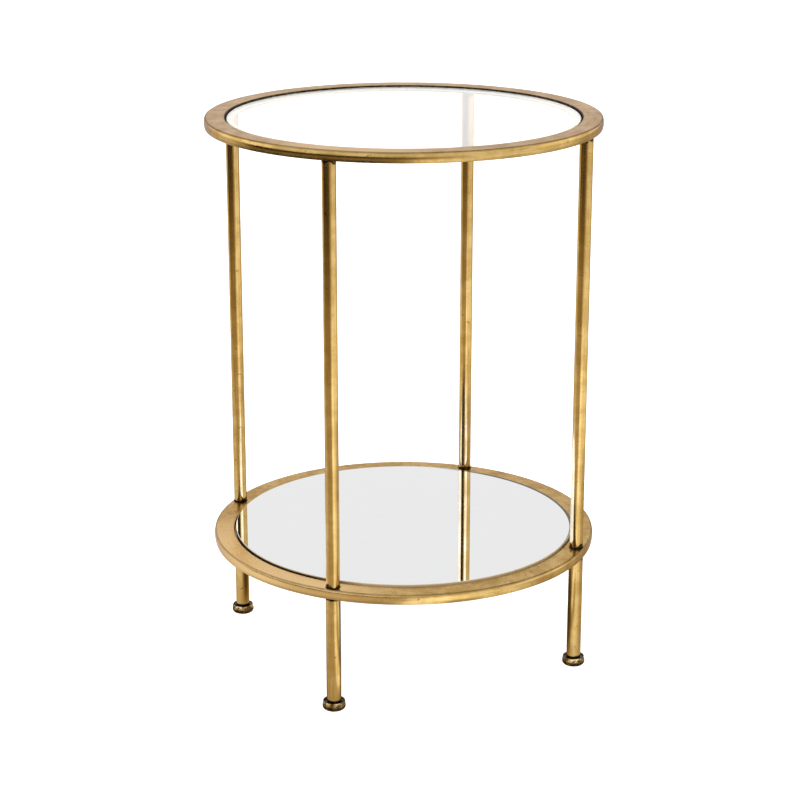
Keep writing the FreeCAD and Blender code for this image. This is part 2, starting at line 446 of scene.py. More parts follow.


# %% [markdown]
# ## Hoops
#
# Each hoop is a flat bar rolled on edge and welded into a ring, with its outer side left slightly crowned by
# the rolls. A torus would be too round and an extruded ring too sharp, so the bar's section is drawn with
# a crown and soft corners, and carried round the table's axis. Patina stays round the posts. Painted shade
# darkens the pane's gap and the outer edges, and painted light pales one side of each hoop.

# %% Section of the bar
BAR_CROWN = 0.8 * MM  # how far the outer side swells
BAR_SOFTNESS = 1.2 * MM  # radius of the bar's edges
CROWN_REACH = 0.68  # share of the bar's half height that lies between its soft edges
CROWN_POINTS = 9
bar_inner, bar_outer = radii_of("top_ring")


def hoop_section(bottom, top):
    """The bar's section: flats inside, above and below, and a crown outside.

    The crown's radius is R - crown * s^2, for s from -1 at the bottom to 1 at the top.
    """
    s = np.linspace(-CROWN_REACH, CROWN_REACH, CROWN_POINTS)
    crown = np.stack([bar_outer - BAR_CROWN * s**2, (top + bottom) / 2 + s * (top - bottom) / 2], axis=1)
    shoulder = bar_outer - BAR_CROWN
    corners = [(bar_inner, bottom), (shoulder, bottom), *crown, (shoulder, top), (bar_inner, top)]
    radii = [BAR_SOFTNESS, BAR_SOFTNESS, *[0] * len(crown), BAR_SOFTNESS, BAR_SOFTNESS]
    return rounded(corners, radii, steps=7)


print(f"bar {(bar_outer - bar_inner) / MM:.2f} mm wide, hoop {2 * bar_outer / MM:.2f} mm across")

# %% Patina and painted shade of the hoops
GAP_REACH = (0.5 * MM, 1.3 * MM)  # a reach is how far a darkening is full, and where it ends
GAP_TOP_REACH = (0.0, 0.6 * MM)
LOWER_EDGE_REACH = (1.4 * MM, 4.6 * MM)
UPPER_EDGE_REACH = (0.3 * MM, 1.8 * MM)
UPPER_EDGE_INSET = 0.3 * MM
PAINTED_UPPER_LINE = 0.52  # painted dark reflection along the upper edge
DARK_EDGE_TOWARDS = (-0.774, -0.634, 0)  # from the axis to where the lower edges' painted shade is darkest
DARK_SIDE = (0.84, 0.97)  # cosines where a side's look starts, and where it is full
FAR_SIDE_SHARE = 0.33  # of the lower edge's painted shade
NEAR_FACE = (1.5 * MM, 2.5 * MM)
NEAR_TUBE = (0.2 * MM, 1.3 * MM)


def towards(place, direction):
    """How far a place lies in a level direction from the table's axis."""
    return vector_of("DOT_PRODUCT", place, direction)


def facing(spots, direction):
    """Cosine of the angle between a place and a level direction, seen from the table's axis."""
    return math_of("DIVIDE", towards(spots.place, direction), spots.from_axis)


def hoop_patina_and_shade(bottom, top, inside_top, edge, faces):
    """Dark places of a hoop: painted shade inside beside the pane and along both outer edges, patina round
    the tubes on the faces.

    The lower edge's painted shade is darkest on one side of the table and has a third of that on the other.
    """
    def dark_places(spots):
        _, height, from_axis, from_post = spots
        # painted shade in the gap beside the pane
        inside = fade(from_axis, bar_inner, GAP_REACH)
        under = fade(height, inside_top, GAP_TOP_REACH)
        dark = times(inside, under)
        # painted shade along the lower edge, darkest on one side
        below = fade(height, bottom, LOWER_EDGE_REACH, edge)
        across = math_of("SUBTRACT", from_axis, bar_outer - BAR_CROWN - UPPER_EDGE_INSET)
        down = math_of("SUBTRACT", height, top - UPPER_EDGE_INSET)
        off_corner = vector_of("LENGTH", node("CombineXYZ", across, down).outputs[0])
        # painted dark reflection along the upper edge
        line = fade(off_corner, 0, UPPER_EDGE_REACH, PAINTED_UPPER_LINE)
        side = ramp(facing(spots, DARK_EDGE_TOWARDS), *DARK_SIDE, FAR_SIDE_SHARE, 1.0)
        outer = math_of("MAXIMUM", line, times(below, side))
        dark = math_of("MAXIMUM", dark, outer)
        for level, radius in faces:
            off_face = math_of("ABSOLUTE", math_of("SUBTRACT", height, level))
            near_face = fade(off_face, 0, NEAR_FACE)
            ring = fade(from_post, radius, NEAR_TUBE)
            dark = math_of("MAXIMUM", dark, times(near_face, ring))
        return dark
    return dark_places


# %% Painted light on the hoops
LIT_SIDE_TOWARDS = (-0.960, -0.281, 0)  # from the axis to the lower hoop's side painted paler as light
LIT_SIDE = (0.60, 0.95)
LIT_SIDE_SHARE = 0.90
HIGHLIGHT_TOWARDS = (-0.639, -0.769, 0)  # where the painted highlight on the top hoop's upper face is strongest
HIGHLIGHT_SIDE = (0.88, 0.985)
HIGHLIGHT_SHARE = 0.75
BAR_FADE = (0.9 * MM, 0.3 * MM)  # depths between which the upper face's own look fades out


def on_upper_face(top, depths, amount):
    """The given amount on an upper face, nothing below it, and a fade between two depths."""
    return lambda spots: ramp(spots.height, top - depths[0], top - depths[1], 0.0, amount)


def painted_lit_side(spots):
    """Painted light: paler metal on one side of the lower hoop."""
    return ramp(facing(spots, LIT_SIDE_TOWARDS), *LIT_SIDE, 0.0, LIT_SIDE_SHARE)


def painted_face_highlight(top):
    """Painted highlight: paler metal on the upper face of the top hoop, on one side."""
    def places(spots):
        near = ramp(facing(spots, HIGHLIGHT_TOWARDS), *HIGHLIGHT_SIDE)
        return times(near, on_upper_face(top, BAR_FADE, HIGHLIGHT_SHARE)(spots))
    return places


# %% Both hoops
HOOP_COLUMNS = 720
FACE_DULLNESS = 0.14
# strength of the painted shade along each hoop's lower edge
TOP_EDGE_SHADE, LOWER_EDGE_SHADE = 0.90, 0.35
UNSHADED_INSIDE = 1.6 * MM  # how far down the lower hoop's inside stays free of the painted gap shade
for hoop in ("top_ring", "lower_ring"):
    low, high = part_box(hoop)
    if hoop == "top_ring":
        dark = hoop_patina_and_shade(low.z, high.z, high.z, TOP_EDGE_SHADE, [(low.z, post_radius)])
        painted_light = (painted_face_highlight(high.z), PAINTED_LIGHT_GOLD)
    else:
        faces = [(high.z, post_radius), (low.z, leg_radius)]
        dark = hoop_patina_and_shade(low.z, high.z, high.z - UNSHADED_INSIDE, LOWER_EDGE_SHADE, faces)
        painted_light = (painted_lit_side, PAINTED_LIGHT_GOLD)
    dull = on_upper_face(high.z, BAR_FADE, FACE_DULLNESS)
    gold = aged_gold(f"aged_gold_{hoop}", dark, grain_round_axis, painted_light, dull)
    mesh = skin(f"{hoop}_bar", [revolve(hoop_section(low.z, high.z), columns=HOOP_COLUMNS)], closed=True)
    stand_in(mesh, hoop, "aged_gold", gold)

# %% [markdown]
# ## Ledges
#
# A thin strip is welded inside each hoop for the pane to lie on. It shows from below, where it has the bar's
# gold, and through the glass, where its upper face is satin metal painted pale as light seen through the
# pane.

# %% Both ledges
LEDGE_SOFTNESS = 0.25 * MM
LEDGE_PAINTED_LIGHT = 0.95
LEDGE_DULLNESS = 0.38
LEDGE_PATINA = 0.9
WELD_REACH = 0.8 * MM
LEDGE_FADE = (0.5 * MM, 0.1 * MM)


def ledge_patina(spots):
    """Patina along the weld, none on the rest of the strip."""
    return ramp(spots.from_axis, ledge_outer - WELD_REACH, ledge_outer, 0.0, LEDGE_PATINA)


for ledge in ("top_ledge", "lower_ledge"):
    ledge_inner, ledge_outer = radii_of(ledge)
    low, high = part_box(ledge)
    corners = [(ledge_inner, low.z), (ledge_outer, low.z), (ledge_outer, high.z), (ledge_inner, high.z)]
    outline = rounded(corners, [LEDGE_SOFTNESS] * 4, steps=4)
    # painted light: the ledge's upper face is painted pale
    pale = (on_upper_face(high.z, LEDGE_FADE, LEDGE_PAINTED_LIGHT), PALE_HIGHLIGHT_METAL)
    satin = on_upper_face(high.z, LEDGE_FADE, LEDGE_DULLNESS)
    gold = aged_gold(f"aged_gold_{ledge}", ledge_patina, grain_round_axis, pale, satin)
    mesh = skin(f"{ledge}_strip", [revolve(outline, columns=HOOP_COLUMNS // 2)], closed=True)
    stand_in(mesh, ledge, "aged_gold", gold)

# %% [markdown]
# ## Posts and legs
#
# The posts and legs are tubes with chamfered ends that meet the hoops in a fine dark groove. They are drawn
# as tubes and not as rods: the outline goes up the outside, over the end and down the bore. The rubbing ran
# along the tube, so its grain is stretched upwards. Patina darkens the groove, and painted shade carries the
# dark a few millimetres along the tube.

# %% Tubes
TUBE_WALL = 1.2 * MM
TUBE_CHAMFER = 0.7 * MM
TUBE_EDGE = 0.2 * MM
# reaches of the joint patina and painted shade along each tube from its ends
POST_PATINA_AND_SHADE_REACH = 3.8 * MM
LEG_PATINA_AND_SHADE_REACH = 1.2 * MM
GROOVE_REACH = (0.6 * MM, 2.2 * MM)
STRAY_SCALE = 150  # of the patina's ragged edge
MIDDLE = (0.3, 0.7)  # levels that most of a noise lies between
TUBE_RELIEF = 0.04  # drawn tube is smoother than rolled bar


def tube_section(radius, bottom, top):
    """Section of a tube's wall with both outer edges chamfered, its corners slightly eased."""
    bore, nose = radius - TUBE_WALL, radius - TUBE_CHAMFER
    corners = [
        (bore, bottom), (nose, bottom), (radius, bottom + TUBE_CHAMFER),
        (radius, top - TUBE_CHAMFER), (nose, top), (bore, top),
    ]
    return rounded(corners, [0, TUBE_EDGE, TUBE_EDGE, TUBE_EDGE, TUBE_EDGE, 0], steps=4)


def tube_patina_and_shade(bottom, top, reach):
    """Patina in the groove at both ends of a tube, carried further by painted shade, with a ragged edge at
    the given reach.
    """
    def dark_places(spots):
        stray = times(ramp(noise(spots.place, STRAY_SCALE), *MIDDLE), reach)
        below = math_of("SUBTRACT", spots.height, bottom)
        above = math_of("SUBTRACT", top, spots.height)
        off_end = math_of("SUBTRACT", math_of("MINIMUM", below, above), stray)
        return fade(off_end, 0, GROOVE_REACH)
    return dark_places


post_ends = tube_patina_and_shade(post_bottom, post_top, POST_PATINA_AND_SHADE_REACH)
leg_ends = tube_patina_and_shade(leg_bottom, leg_top, LEG_PATINA_AND_SHADE_REACH)
post_gold = aged_gold("aged_gold_posts", post_ends, grain_upright, relief=TUBE_RELIEF)
leg_gold = aged_gold("aged_gold_legs", leg_ends, grain_upright, relief=TUBE_RELIEF)
for corner in CORNERS:
    for part, gold in (("post", post_gold), ("leg", leg_gold)):
        axis, radius, bottom, top = upright(f"{part}_{corner}")
        mesh = skin(f"{part}_{corner}_tube", [revolve(tube_section(radius, bottom, top), axis)], closed=True)
        stand_in(mesh, f"{part}_{corner}", "aged_gold", gold)

# %% [markdown]
# ## Feet
#
# Each foot is a small turned button: a dish with a lip that the leg stands in, a rim that flares
# downwards and an undercut that lifts it off the floor. The dish and the undercut are painted black as shade.
# The lip carries a broken painted highlight, and the rim between them has brown marks in places. A lathe
# outline is the natural way to make a turned button.

# %% Section of a foot
DISH_GAP = 2.3 * MM  # from leg to the dish's wall
DISH_DEPTH = 0.8 * MM
LIP_WIDTH = 1.2 * MM
LIP_ROUND = 0.4 * MM
RIM_HEIGHT = 5.2 * MM
RIM_ROUND = 0.35 * MM
BASE_ROUND = 0.2 * MM
DISH_ROUND = 0.25 * MM
SEAT_GAP = 0.05 * MM  # round the glide and the threaded rod
UNDERCUT_DEPTH = 3.1 * MM
UNDERCUT_CROWN = 0.85 * MM
UNDERCUT_POINTS = 11
STUD_HOLE_FLOOR = 4.2 * MM  # above the level that the table stands on
_, stud_radius, _, _ = upright("foot_stud_back_right")
_, rim_radius, foot_base, foot_top = upright("foot_back_right")
_, glide_radius, glide_bottom, glide_top = upright("foot_glide_back_right")
dish_radius = leg_radius + DISH_GAP
lip_radius = dish_radius + LIP_WIDTH
dish_floor = foot_top - DISH_DEPTH
rim_bottom = foot_top - RIM_HEIGHT


def foot_section():
    """Outline of a foot: out from the glide's seat, up the undercut and rim, over the lip, into the dish.

    The undercut is a straight taper plus a bulge of crown * 4t(1 - t) square to it.
    """
    base_radius = rim_radius - UNDERCUT_DEPTH
    start, end = np.array([base_radius, foot_base]), np.array([rim_radius, rim_bottom])
    run = end - start
    outward = np.array([run[1], -run[0]]) / np.linalg.norm(run)
    t = np.linspace(0, 1, UNDERCUT_POINTS)[1:-1, None]
    undercut = start + run * t + outward * UNDERCUT_CROWN * 4 * t * (1 - t)
    seat_radius = glide_radius + SEAT_GAP
    hole = stud_radius + SEAT_GAP
    corners = [
        (0, glide_top), (seat_radius, glide_top), (seat_radius, foot_base), start, *undercut,
        end, (lip_radius, foot_top), (dish_radius, foot_top), (dish_radius, dish_floor),
        (hole, dish_floor), (hole, STUD_HOLE_FLOOR), (0, STUD_HOLE_FLOOR),
    ]
    upper = [RIM_ROUND, LIP_ROUND, LIP_ROUND, DISH_ROUND, 0, 0, 0]
    radii = [0, 0, 0, BASE_ROUND, *[0] * len(undercut), *upper]
    return rounded(corners, radii, steps=6, margin=0.06 * MM)


print(f"foot {2 * rim_radius / MM:.2f} mm across, {(foot_top - foot_base) / MM:.2f} mm high")

# %% Painted shade and marks of the feet
DISH_REACH = (-0.5 * MM, -0.1 * MM)  # from the lip
DISH_FADE = (1.2 * MM, 0.7 * MM)
UNDERCUT_SHADE = 0.98
UNDERCUT_REACH = (0.6 * MM, 2.2 * MM)
MARKS = (250, 3, 0.6)
MARK_LEVELS = (0.46, 0.54)
MARK_DEPTH = 0.84
# fade and strength of the painted highlight on the lip
LIP_FADE = (2.2 * MM, 1.2 * MM)
LIP_SHARE = 0.9
LIP_BREAKS = (170, 2, 0.5)
LIP_BREAK_LEVELS = (0.40, 0.50)


def foot_shade_and_marks(spots):
    """Painted shade, black in the dish and the undercut, with brown marks on the rim between them."""
    place, height, _, from_post = spots
    # painted shade in the dish
    dish = fade(from_post, lip_radius, DISH_REACH)
    dish = times(dish, on_upper_face(foot_top, DISH_FADE, 1.0)(spots))
    # painted shade under the rim
    under = fade(height, rim_bottom, UNDERCUT_REACH, UNDERCUT_SHADE)
    marks = ramp(noise(place, *MARKS), *MARK_LEVELS, 0.0, MARK_DEPTH)
    return math_of("MAXIMUM", math_of("MAXIMUM", dish, under), marks)


def painted_lip_highlight(spots):
    """A painted highlight round the upper edge of the rim, broken in places by noise."""
    line = on_upper_face(foot_top, LIP_FADE, LIP_SHARE)(spots)
    unbroken = ramp(noise(spots.place, *LIP_BREAKS), *LIP_BREAK_LEVELS)
    return times(line, unbroken)


# %% Turned feet
foot_gold = aged_gold("aged_gold_feet", foot_shade_and_marks, grain_turned, (painted_lip_highlight, PALE_HIGHLIGHT_METAL))
for corner in CORNERS:
    axis = upright(f"foot_{corner}")[0]
    mesh = skin(f"foot_{corner}_button", [revolve(foot_section(), axis)])
    stand_in(mesh, f"foot_{corner}", "aged_gold", foot_gold)

# %% [markdown]
# ## Threads of the feet
#
# A threaded rod in each foot screws into the leg, and a few turns of it show when the foot is let
# down. A spiral made with the Screw modifier would need trimming at both ends, but a grid can simply let the
# radius follow a triangle wave that climbs as the angle goes round.

# %% Grid of a threaded rod
THREAD_PITCH = 0.8 * MM
THREAD_DEPTH = 0.42 * MM
STUD_NOSE = 0.8 * MM
THREAD_ROWS_PER_TURN = 10
THREAD_COLUMNS = 40


def threaded_rod(axis, bottom, top):
    """Grid of a right-hand thread: radius = crest - depth * triangle(height / pitch - angle / turn).

    Within the nose at each end the radius is also kept under a cone, and a point on the axis closes the end.
    """
    angle = np.linspace(0, 2 * np.pi, THREAD_COLUMNS, endpoint=False)
    rows = int((top - bottom) / THREAD_PITCH * THREAD_ROWS_PER_TURN)
    height = np.linspace(bottom, top, rows)[:, None]
    phase = (height / THREAD_PITCH - angle / (2 * np.pi)) % 1
    radius = stud_radius - THREAD_DEPTH * np.abs(2 * phase - 1)
    cone = stud_radius - STUD_NOSE + np.minimum(height - bottom, top - height)
    radius = np.minimum(radius, cone)
    radius = np.vstack([0 * angle, radius, 0 * angle])
    height = np.vstack([height[:1], height, height[-1:]])
    x, y = axis[0] + radius * np.cos(angle), axis[1] + radius * np.sin(angle)
    return np.stack([x, y, height + 0 * x], axis=-1)


# %% Plated steel, and the four rods
ZINC_DARK, ZINC_PALE = (0.50, 0.47, 0.40), (0.63, 0.57, 0.45)
BLOOM, SATIN, PIT_SCALE = (180, 3, 0.6), (700, 2, 0.5), 900
BLOOM_LEVELS = (0.35, 0.65)
ZINC_ROUGHNESS = (0.24, 0.38)
ZINC_RELIEF = (0.1, 0.1 * MM)  # strength and depth


def plated_steel():
    """Zinc plating: grey metal with a cloudy, slightly yellow bloom."""
    material, place = new_material("plated_steel")
    bloom = ramp(noise(place, *BLOOM), *BLOOM_LEVELS)
    tone = blend(bloom, ZINC_DARK, ZINC_PALE)
    rough = ramp(noise(place, *SATIN), *MIDDLE, *ZINC_ROUGHNESS)
    return principled(material, tone, rough, (*ZINC_RELIEF, noise(place, PIT_SCALE)), Metallic=1.0)


zinc = plated_steel()
for corner in CORNERS:
    axis, _, bottom, top = upright(f"foot_stud_{corner}")
    mesh = skin(f"foot_stud_{corner}_thread", [threaded_rod(axis, bottom, top)])
    stand_in(mesh, f"foot_stud_{corner}", "plain_steel", zinc)

# %% [markdown]
# ## Glides
#
# A black plastic disc is pressed into the underside of each foot, so that the metal doesn't scratch the
# floor. It is moulded, so it has eased edges, a shallow dimple in the middle and a fine spark-eroded texture.

# %% Section of a glide
GLIDE_CHAMFER = 0.4 * MM
DIMPLE_RADIUS = 2.0 * MM
DIMPLE_DEPTH = 0.35 * MM
SOLE_ROUND = 0.15 * MM
RIM_EDGE = 0.1 * MM
DIMPLE_POINTS = 8
GLIDE_COLUMNS = 64


def glide_section():
    """Outline of a glide: a dimple in the middle, a flat sole, a chamfer and a side.

    The dimple rises by depth * (1 - (r / R)^2)^2.
    """
    r = np.linspace(0, DIMPLE_RADIUS, DIMPLE_POINTS)
    dimple = np.stack([r, glide_bottom + DIMPLE_DEPTH * (1 - (r / DIMPLE_RADIUS) ** 2) ** 2], axis=1)
    corners = [
        *dimple, (glide_radius - GLIDE_CHAMFER, glide_bottom), (glide_radius, glide_bottom + GLIDE_CHAMFER),
        (glide_radius, glide_top), (0, glide_top),
    ]
    radii = [0] * len(dimple) + [SOLE_ROUND, SOLE_ROUND, RIM_EDGE, 0]
    return rounded(corners, radii, steps=4, margin=0.05 * MM)


# %% Moulded plastic, and the four glides
BLACK_PLASTIC, SCUFFED_PLASTIC = (0.018, 0.018, 0.019), (0.060, 0.058, 0.055)
SCUFFS, TEXTURE = (300, 5, 0.7), (2600, 2)
SCUFF_LEVELS = (0.58, 0.72)
PLASTIC_ROUGHNESS = (0.48, 0.66)
PLASTIC_RELIEF = (0.25, 0.08 * MM)


def moulded_black():
    """Black moulded plastic with a fine grain and paler scuffs."""
    material, place = new_material("moulded_black")
    scuffs = ramp(noise(place, *SCUFFS), *SCUFF_LEVELS)
    tone = blend(scuffs, BLACK_PLASTIC, SCUFFED_PLASTIC)
    rough = ramp(scuffs, 0, 1, *PLASTIC_ROUGHNESS)
    return principled(material, tone, rough, (*PLASTIC_RELIEF, noise(place, *TEXTURE)))


glide_black = moulded_black()
for corner in CORNERS:
    axis = upright(f"foot_glide_{corner}")[0]
    grid = revolve(glide_section(), axis, GLIDE_COLUMNS)
    mesh = skin(f"foot_glide_{corner}_disc", [grid])
    stand_in(mesh, f"foot_glide_{corner}", "black_plastic", glide_black)

# %% [markdown]
# ## Glass top
#
# The top is a round of clear float glass that lies loose in the hoop. Its faces are polished, and its edge is
# ground: a narrow chamfer above and below and a pale green, misty rim. Two materials share the pane:
# clear glass on the faces and misty glass on the ground edge. Real glass lets lamp light through, so
# the pane casts no shadow.

# %% Shape of a pane
PANE_ARRIS = 0.5 * MM
ARRIS_ROUND = 0.08 * MM
EDGE_SHARE = 0.9  # of the arris, which counts as the ground edge
FACE_REACH = 0.985  # share of the radius that the rings on a face cover
FACE_RINGS = 6
PANE_COLUMNS = 360
PANE_SHARP = math.radians(20)


def pane_section(radius, bottom, top):
    """Outline of a pane: from the middle of its underside round the ground edge to the middle of its face."""
    face = np.linspace(0, FACE_REACH, FACE_RINGS)[:, None] * radius
    under = np.hstack([face, 0 * face + bottom])
    over = np.hstack([face, 0 * face + top])[::-1]
    corners = [
        *under, (radius - PANE_ARRIS, bottom), (radius, bottom + PANE_ARRIS),
        (radius, top - PANE_ARRIS), (radius - PANE_ARRIS, top), *over,
    ]
    radii = [0] * len(under) + [ARRIS_ROUND] * 4 + [0] * len(over)
    return rounded(corners, radii, steps=3, margin=0.05 * MM)


def pane_mesh(name, radius, low, high):
    """A pane's mesh. Faces take the second material where their middle lies in the ground edge."""
    grid = revolve(pane_section(radius, low, high), columns=PANE_COLUMNS)
    mesh = skin(name, [grid], sharp=PANE_SHARP)
    in_edge = off_axis(mesh.polygons, "center") > radius - EDGE_SHARE * PANE_ARRIS
    mesh.polygons.foreach_set("material_index", in_edge.astype(np.int32))
    print(name, "edge faces", int(in_edge.sum()))
    return mesh


# %% Clear glass and its ground edge
GLASS_TINT = (0.985, 0.995, 0.990, 1)
GLASS_IOR = 1.52
GLASS_WIPING = (30, 110, 30)  # noise waves in a metre, along x, y and z
WHEEL_MARKS = (500, 500, 2500)
WIPING = (1, 4, 0.6)  # one wave, because its place is stretched already
TRACE_LEVELS = (0.45, 0.8)
TRACE_ROUGHNESS = 0.012
GROUND_ROUGHNESS = (0.30, 0.45)
GROUND_RELIEF = (0.2, 0.05 * MM)
MISTY_DEEP, MISTY_LIGHT = (0.30, 0.45, 0.38), (0.46, 0.60, 0.52)
WITHIN_DEEP, WITHIN_LIGHT = (0.74, 0.77, 0.74), (0.86, 0.88, 0.85)


def clear_glass():
    """Float glass with the faintest green, and a trace of wiping on its face."""
    material, place = new_material("clear_glass")
    wiping = stretched(place, GLASS_WIPING)
    trace = ramp(noise(wiping, *WIPING), *TRACE_LEVELS, 0.0, TRACE_ROUGHNESS)
    return principled(material, GLASS_TINT, trace, IOR=GLASS_IOR, Transmission_Weight=1.0)


def ground_edge():
    """Ground glass: misty green from outside, pale from within the pane, with the fine marks of the wheel."""
    material, place = new_material("ground_edge")
    marks = noise(stretched(place, WHEEL_MARKS), 1)
    misty = blend(marks, MISTY_DEEP, MISTY_LIGHT)
    pale = blend(marks, WITHIN_DEEP, WITHIN_LIGHT)
    tone = blend(node("NewGeometry", near=place).outputs["Backfacing"], misty, pale)
    rough = ramp(marks, *MIDDLE, *GROUND_ROUGHNESS)
    return principled(material, tone, rough, (*GROUND_RELIEF, marks), IOR=GLASS_IOR)


# %% Pane of glass
_, pane_radius = radii_of("top_glass")
low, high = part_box("top_glass")
mesh = pane_mesh("top_glass_pane", pane_radius, low.z, high.z)
pane = stand_in(mesh, "top_glass", "clear_glass", clear_glass(), ground_edge())
pane.visible_shadow = False

# %% [markdown]
# ## Mirror shelf
#
# The shelf is a round of mirror, its ground edge sealed with gilt lacquer, and rim and seal painted dark as
# shade on one side, with a painted highlight line beside the face. A mirror of glass with a silver layer
# behind it would show every reflection twice, a few millimetres apart, which can't be seen from standing
# height. One bright metal face is enough, with faint traces of wiping.

# %% Silver
DARK_TOWARDS = (-0.998, 0.065, 0)  # the side of the table where the mirror's rim and seal are painted dark as shade
CRESCENT_SHIFT = (3.0 * MM, 2.2 * MM, 0)  # of the rim's inner circle, which leaves a crescent
SILVER_DEEP, SILVER_LIGHT = (0.930, 0.933, 0.932), (0.938, 0.941, 0.940)
RIM_SHADE = (0.060, 0.052, 0.038)
RIM_LINE = (-0.6 * MM, 0.4 * MM)  # from the mirror's radius, where the rim starts and is full
RIM_SIDE = (-0.80, -0.45)  # shares of the radius towards the dark side
MIRROR_WIPING = (40, 120, 40)
SILVER_LEVELS = (0.5, 0.85)
SILVER_ROUGHNESS = (0.004, 0.016)
_, mirror_radius = radii_of("mirror_pane")
low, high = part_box("mirror_pane")
mirror_bottom, mirror_top = low.z, high.z


def along_dark_side(place):
    """How far a place lies towards the dark side, as a share of the mirror's radius."""
    return math_of("DIVIDE", towards(place, DARK_TOWARDS), mirror_radius)


def silver():
    """Silvered face: almost white metal, very smooth, with traces of wiping and a rim painted dark as shade
    on one side.
    """
    material, place = new_material("silvered_mirror")
    trace = noise(stretched(place, MIRROR_WIPING), *WIPING)
    tone = blend(ramp(trace, *MIDDLE), SILVER_DEEP, SILVER_LIGHT)
    aside = stretched(place, (1, 1, 0))
    reach = vector_of("LENGTH", vector_of("ADD", aside, CRESCENT_SHIFT))
    rim = ramp(reach, *(mirror_radius + edge for edge in RIM_LINE))
    side = fade(along_dark_side(place), 0, RIM_SIDE)
    # painted shade: a dark crescent at the rim on one side
    tone = blend(times(rim, side), tone, RIM_SHADE)
    rough = ramp(trace, *SILVER_LEVELS, *SILVER_ROUGHNESS)
    return principled(material, tone, rough, Metallic=1.0)


# %% Sealing lacquer
GILT_DEEP, GILT_LIGHT = (0.52, 0.38, 0.20), (0.64, 0.50, 0.29)
EDGE_SHADE_BLACK = (0.010, 0.009, 0.008)
LACQUER_ROUGHNESS = (0.35, 0.5)
BRUSH_MARKS = (300, 300, 1500)
SEAL_SIDE = (0.52, 0.80)  # shares of the radius towards the dark side
FACE_LINE_SHARE = 0.8  # gilt share of the painted highlight line beside the face
FACE_LINE_FADE = (1.1 * MM, 0.6 * MM)


def sealed_edge():
    """Ground edge under a gilt sealing lacquer, painted black as shade on one side, with a painted highlight
    line of gilt beside the face.
    """
    material, place = new_material("sealed_edge")
    brushed = noise(stretched(place, BRUSH_MARKS), 1)
    gilt = blend(brushed, GILT_DEEP, GILT_LIGHT)
    _, height = levelled(place)
    face_line = ramp(height, *(mirror_top - depth for depth in FACE_LINE_FADE), 0.0, FACE_LINE_SHARE)
    away = fade(along_dark_side(place), 0, SEAL_SIDE)
    unshaded = math_of("MAXIMUM", away, face_line)
    # painted shade: black on one side, with a painted highlight line of gilt beside the face
    tone = blend(unshaded, EDGE_SHADE_BLACK, gilt)
    rough = ramp(brushed, *MIDDLE, *LACQUER_ROUGHNESS)
    return principled(material, tone, rough)


# %% Mirror
mesh = pane_mesh("mirror_pane_disc", mirror_radius, mirror_bottom, mirror_top)
stand_in(mesh, "mirror_pane", "silvered_mirror", silver(), sealed_edge())

# %% [markdown]
# ## Bumpers
#
# Small clear silicone buttons keep the panes off the metal. They are squeezed a little, so their sides bulge.
# Four lathe outlines on one circle make one mesh for each pane.

# %% Clear bumpers
BUMPER_RADIUS = 2.5 * MM
BUMPER_TAPER = 0.5 * MM
BUMPER_SWELL = 0.12 * MM
SWELL_POINTS = 9
BUMPER_COLUMNS = 40
MILK_DEEP, MILK_LIGHT = (0.80, 0.82, 0.80), (0.92, 0.93, 0.92)
MILK_SCALE = 500
SILICONE_IOR = 1.41
SILICONE_CLARITY = 0.6
SILICONE_ROUGHNESS = (0.18, 0.32)


def bumper_section(bottom, top):
    """Outline of a button: its side leans in by the taper and bulges by swell * sin(pi t) on the way up.

    The whole side starts one swell further in, so that the bulge doesn't pass the button's radius.
    """
    t = np.linspace(0, 1, SWELL_POINTS)[:, None]
    swell = BUMPER_SWELL * (np.sin(np.pi * t) - 1)
    side = np.hstack([BUMPER_RADIUS - BUMPER_TAPER * t + swell, bottom + (top - bottom) * t])
    return np.vstack([[(0, bottom)], side, [(0, top)]])


def clear_silicone():
    """Soft clear silicone, slightly milky."""
    material, place = new_material("clear_silicone")
    milk = noise(place, MILK_SCALE)
    tone = blend(milk, MILK_DEEP, MILK_LIGHT)
    rough = ramp(milk, *MIDDLE, *SILICONE_ROUGHNESS)
    return principled(material, tone, rough, IOR=SILICONE_IOR, Transmission_Weight=SILICONE_CLARITY)


silicone = clear_silicone()
for bumpers in ("glass_bumpers", "mirror_bumpers"):
    low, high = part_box(bumpers)
    circle = high.x - BUMPER_RADIUS
    axes = [(circle, 0), (0, circle), (-circle, 0), (0, -circle)]
    outline = bumper_section(low.z, high.z)
    grids = [revolve(outline, axis, BUMPER_COLUMNS) for axis in axes]
    mesh = skin(f"{bumpers}_buttons", grids)
    stand_in(mesh, bumpers, "clear_silicone", silicone)

# %% [markdown]
# ## Film and hidden steel
#
# A grey woven film covers the back of the mirror. It is a plain thin disc, so the CAD node stays and takes a
# material with a fine weave: two waves at right angles. The plugs and studs inside the tubes keep their CAD
# shapes too, with the plated steel of the threads.

# %% Film on the mirror's back
SCRIM_SCALE = 420
SCRIM_WANDER = 0.6
GLUE = (30, 4)
FILM_DEEP, FILM_LIGHT = (0.115, 0.120, 0.125), (0.165, 0.170, 0.172)
SCRIM_TONE = (0.24, 0.245, 0.25)
SCRIM_SHARE = 0.5
FILM_ROUGHNESS = (0.62, 0.5)
FILM_RELIEF = (0.4, 0.1 * MM)


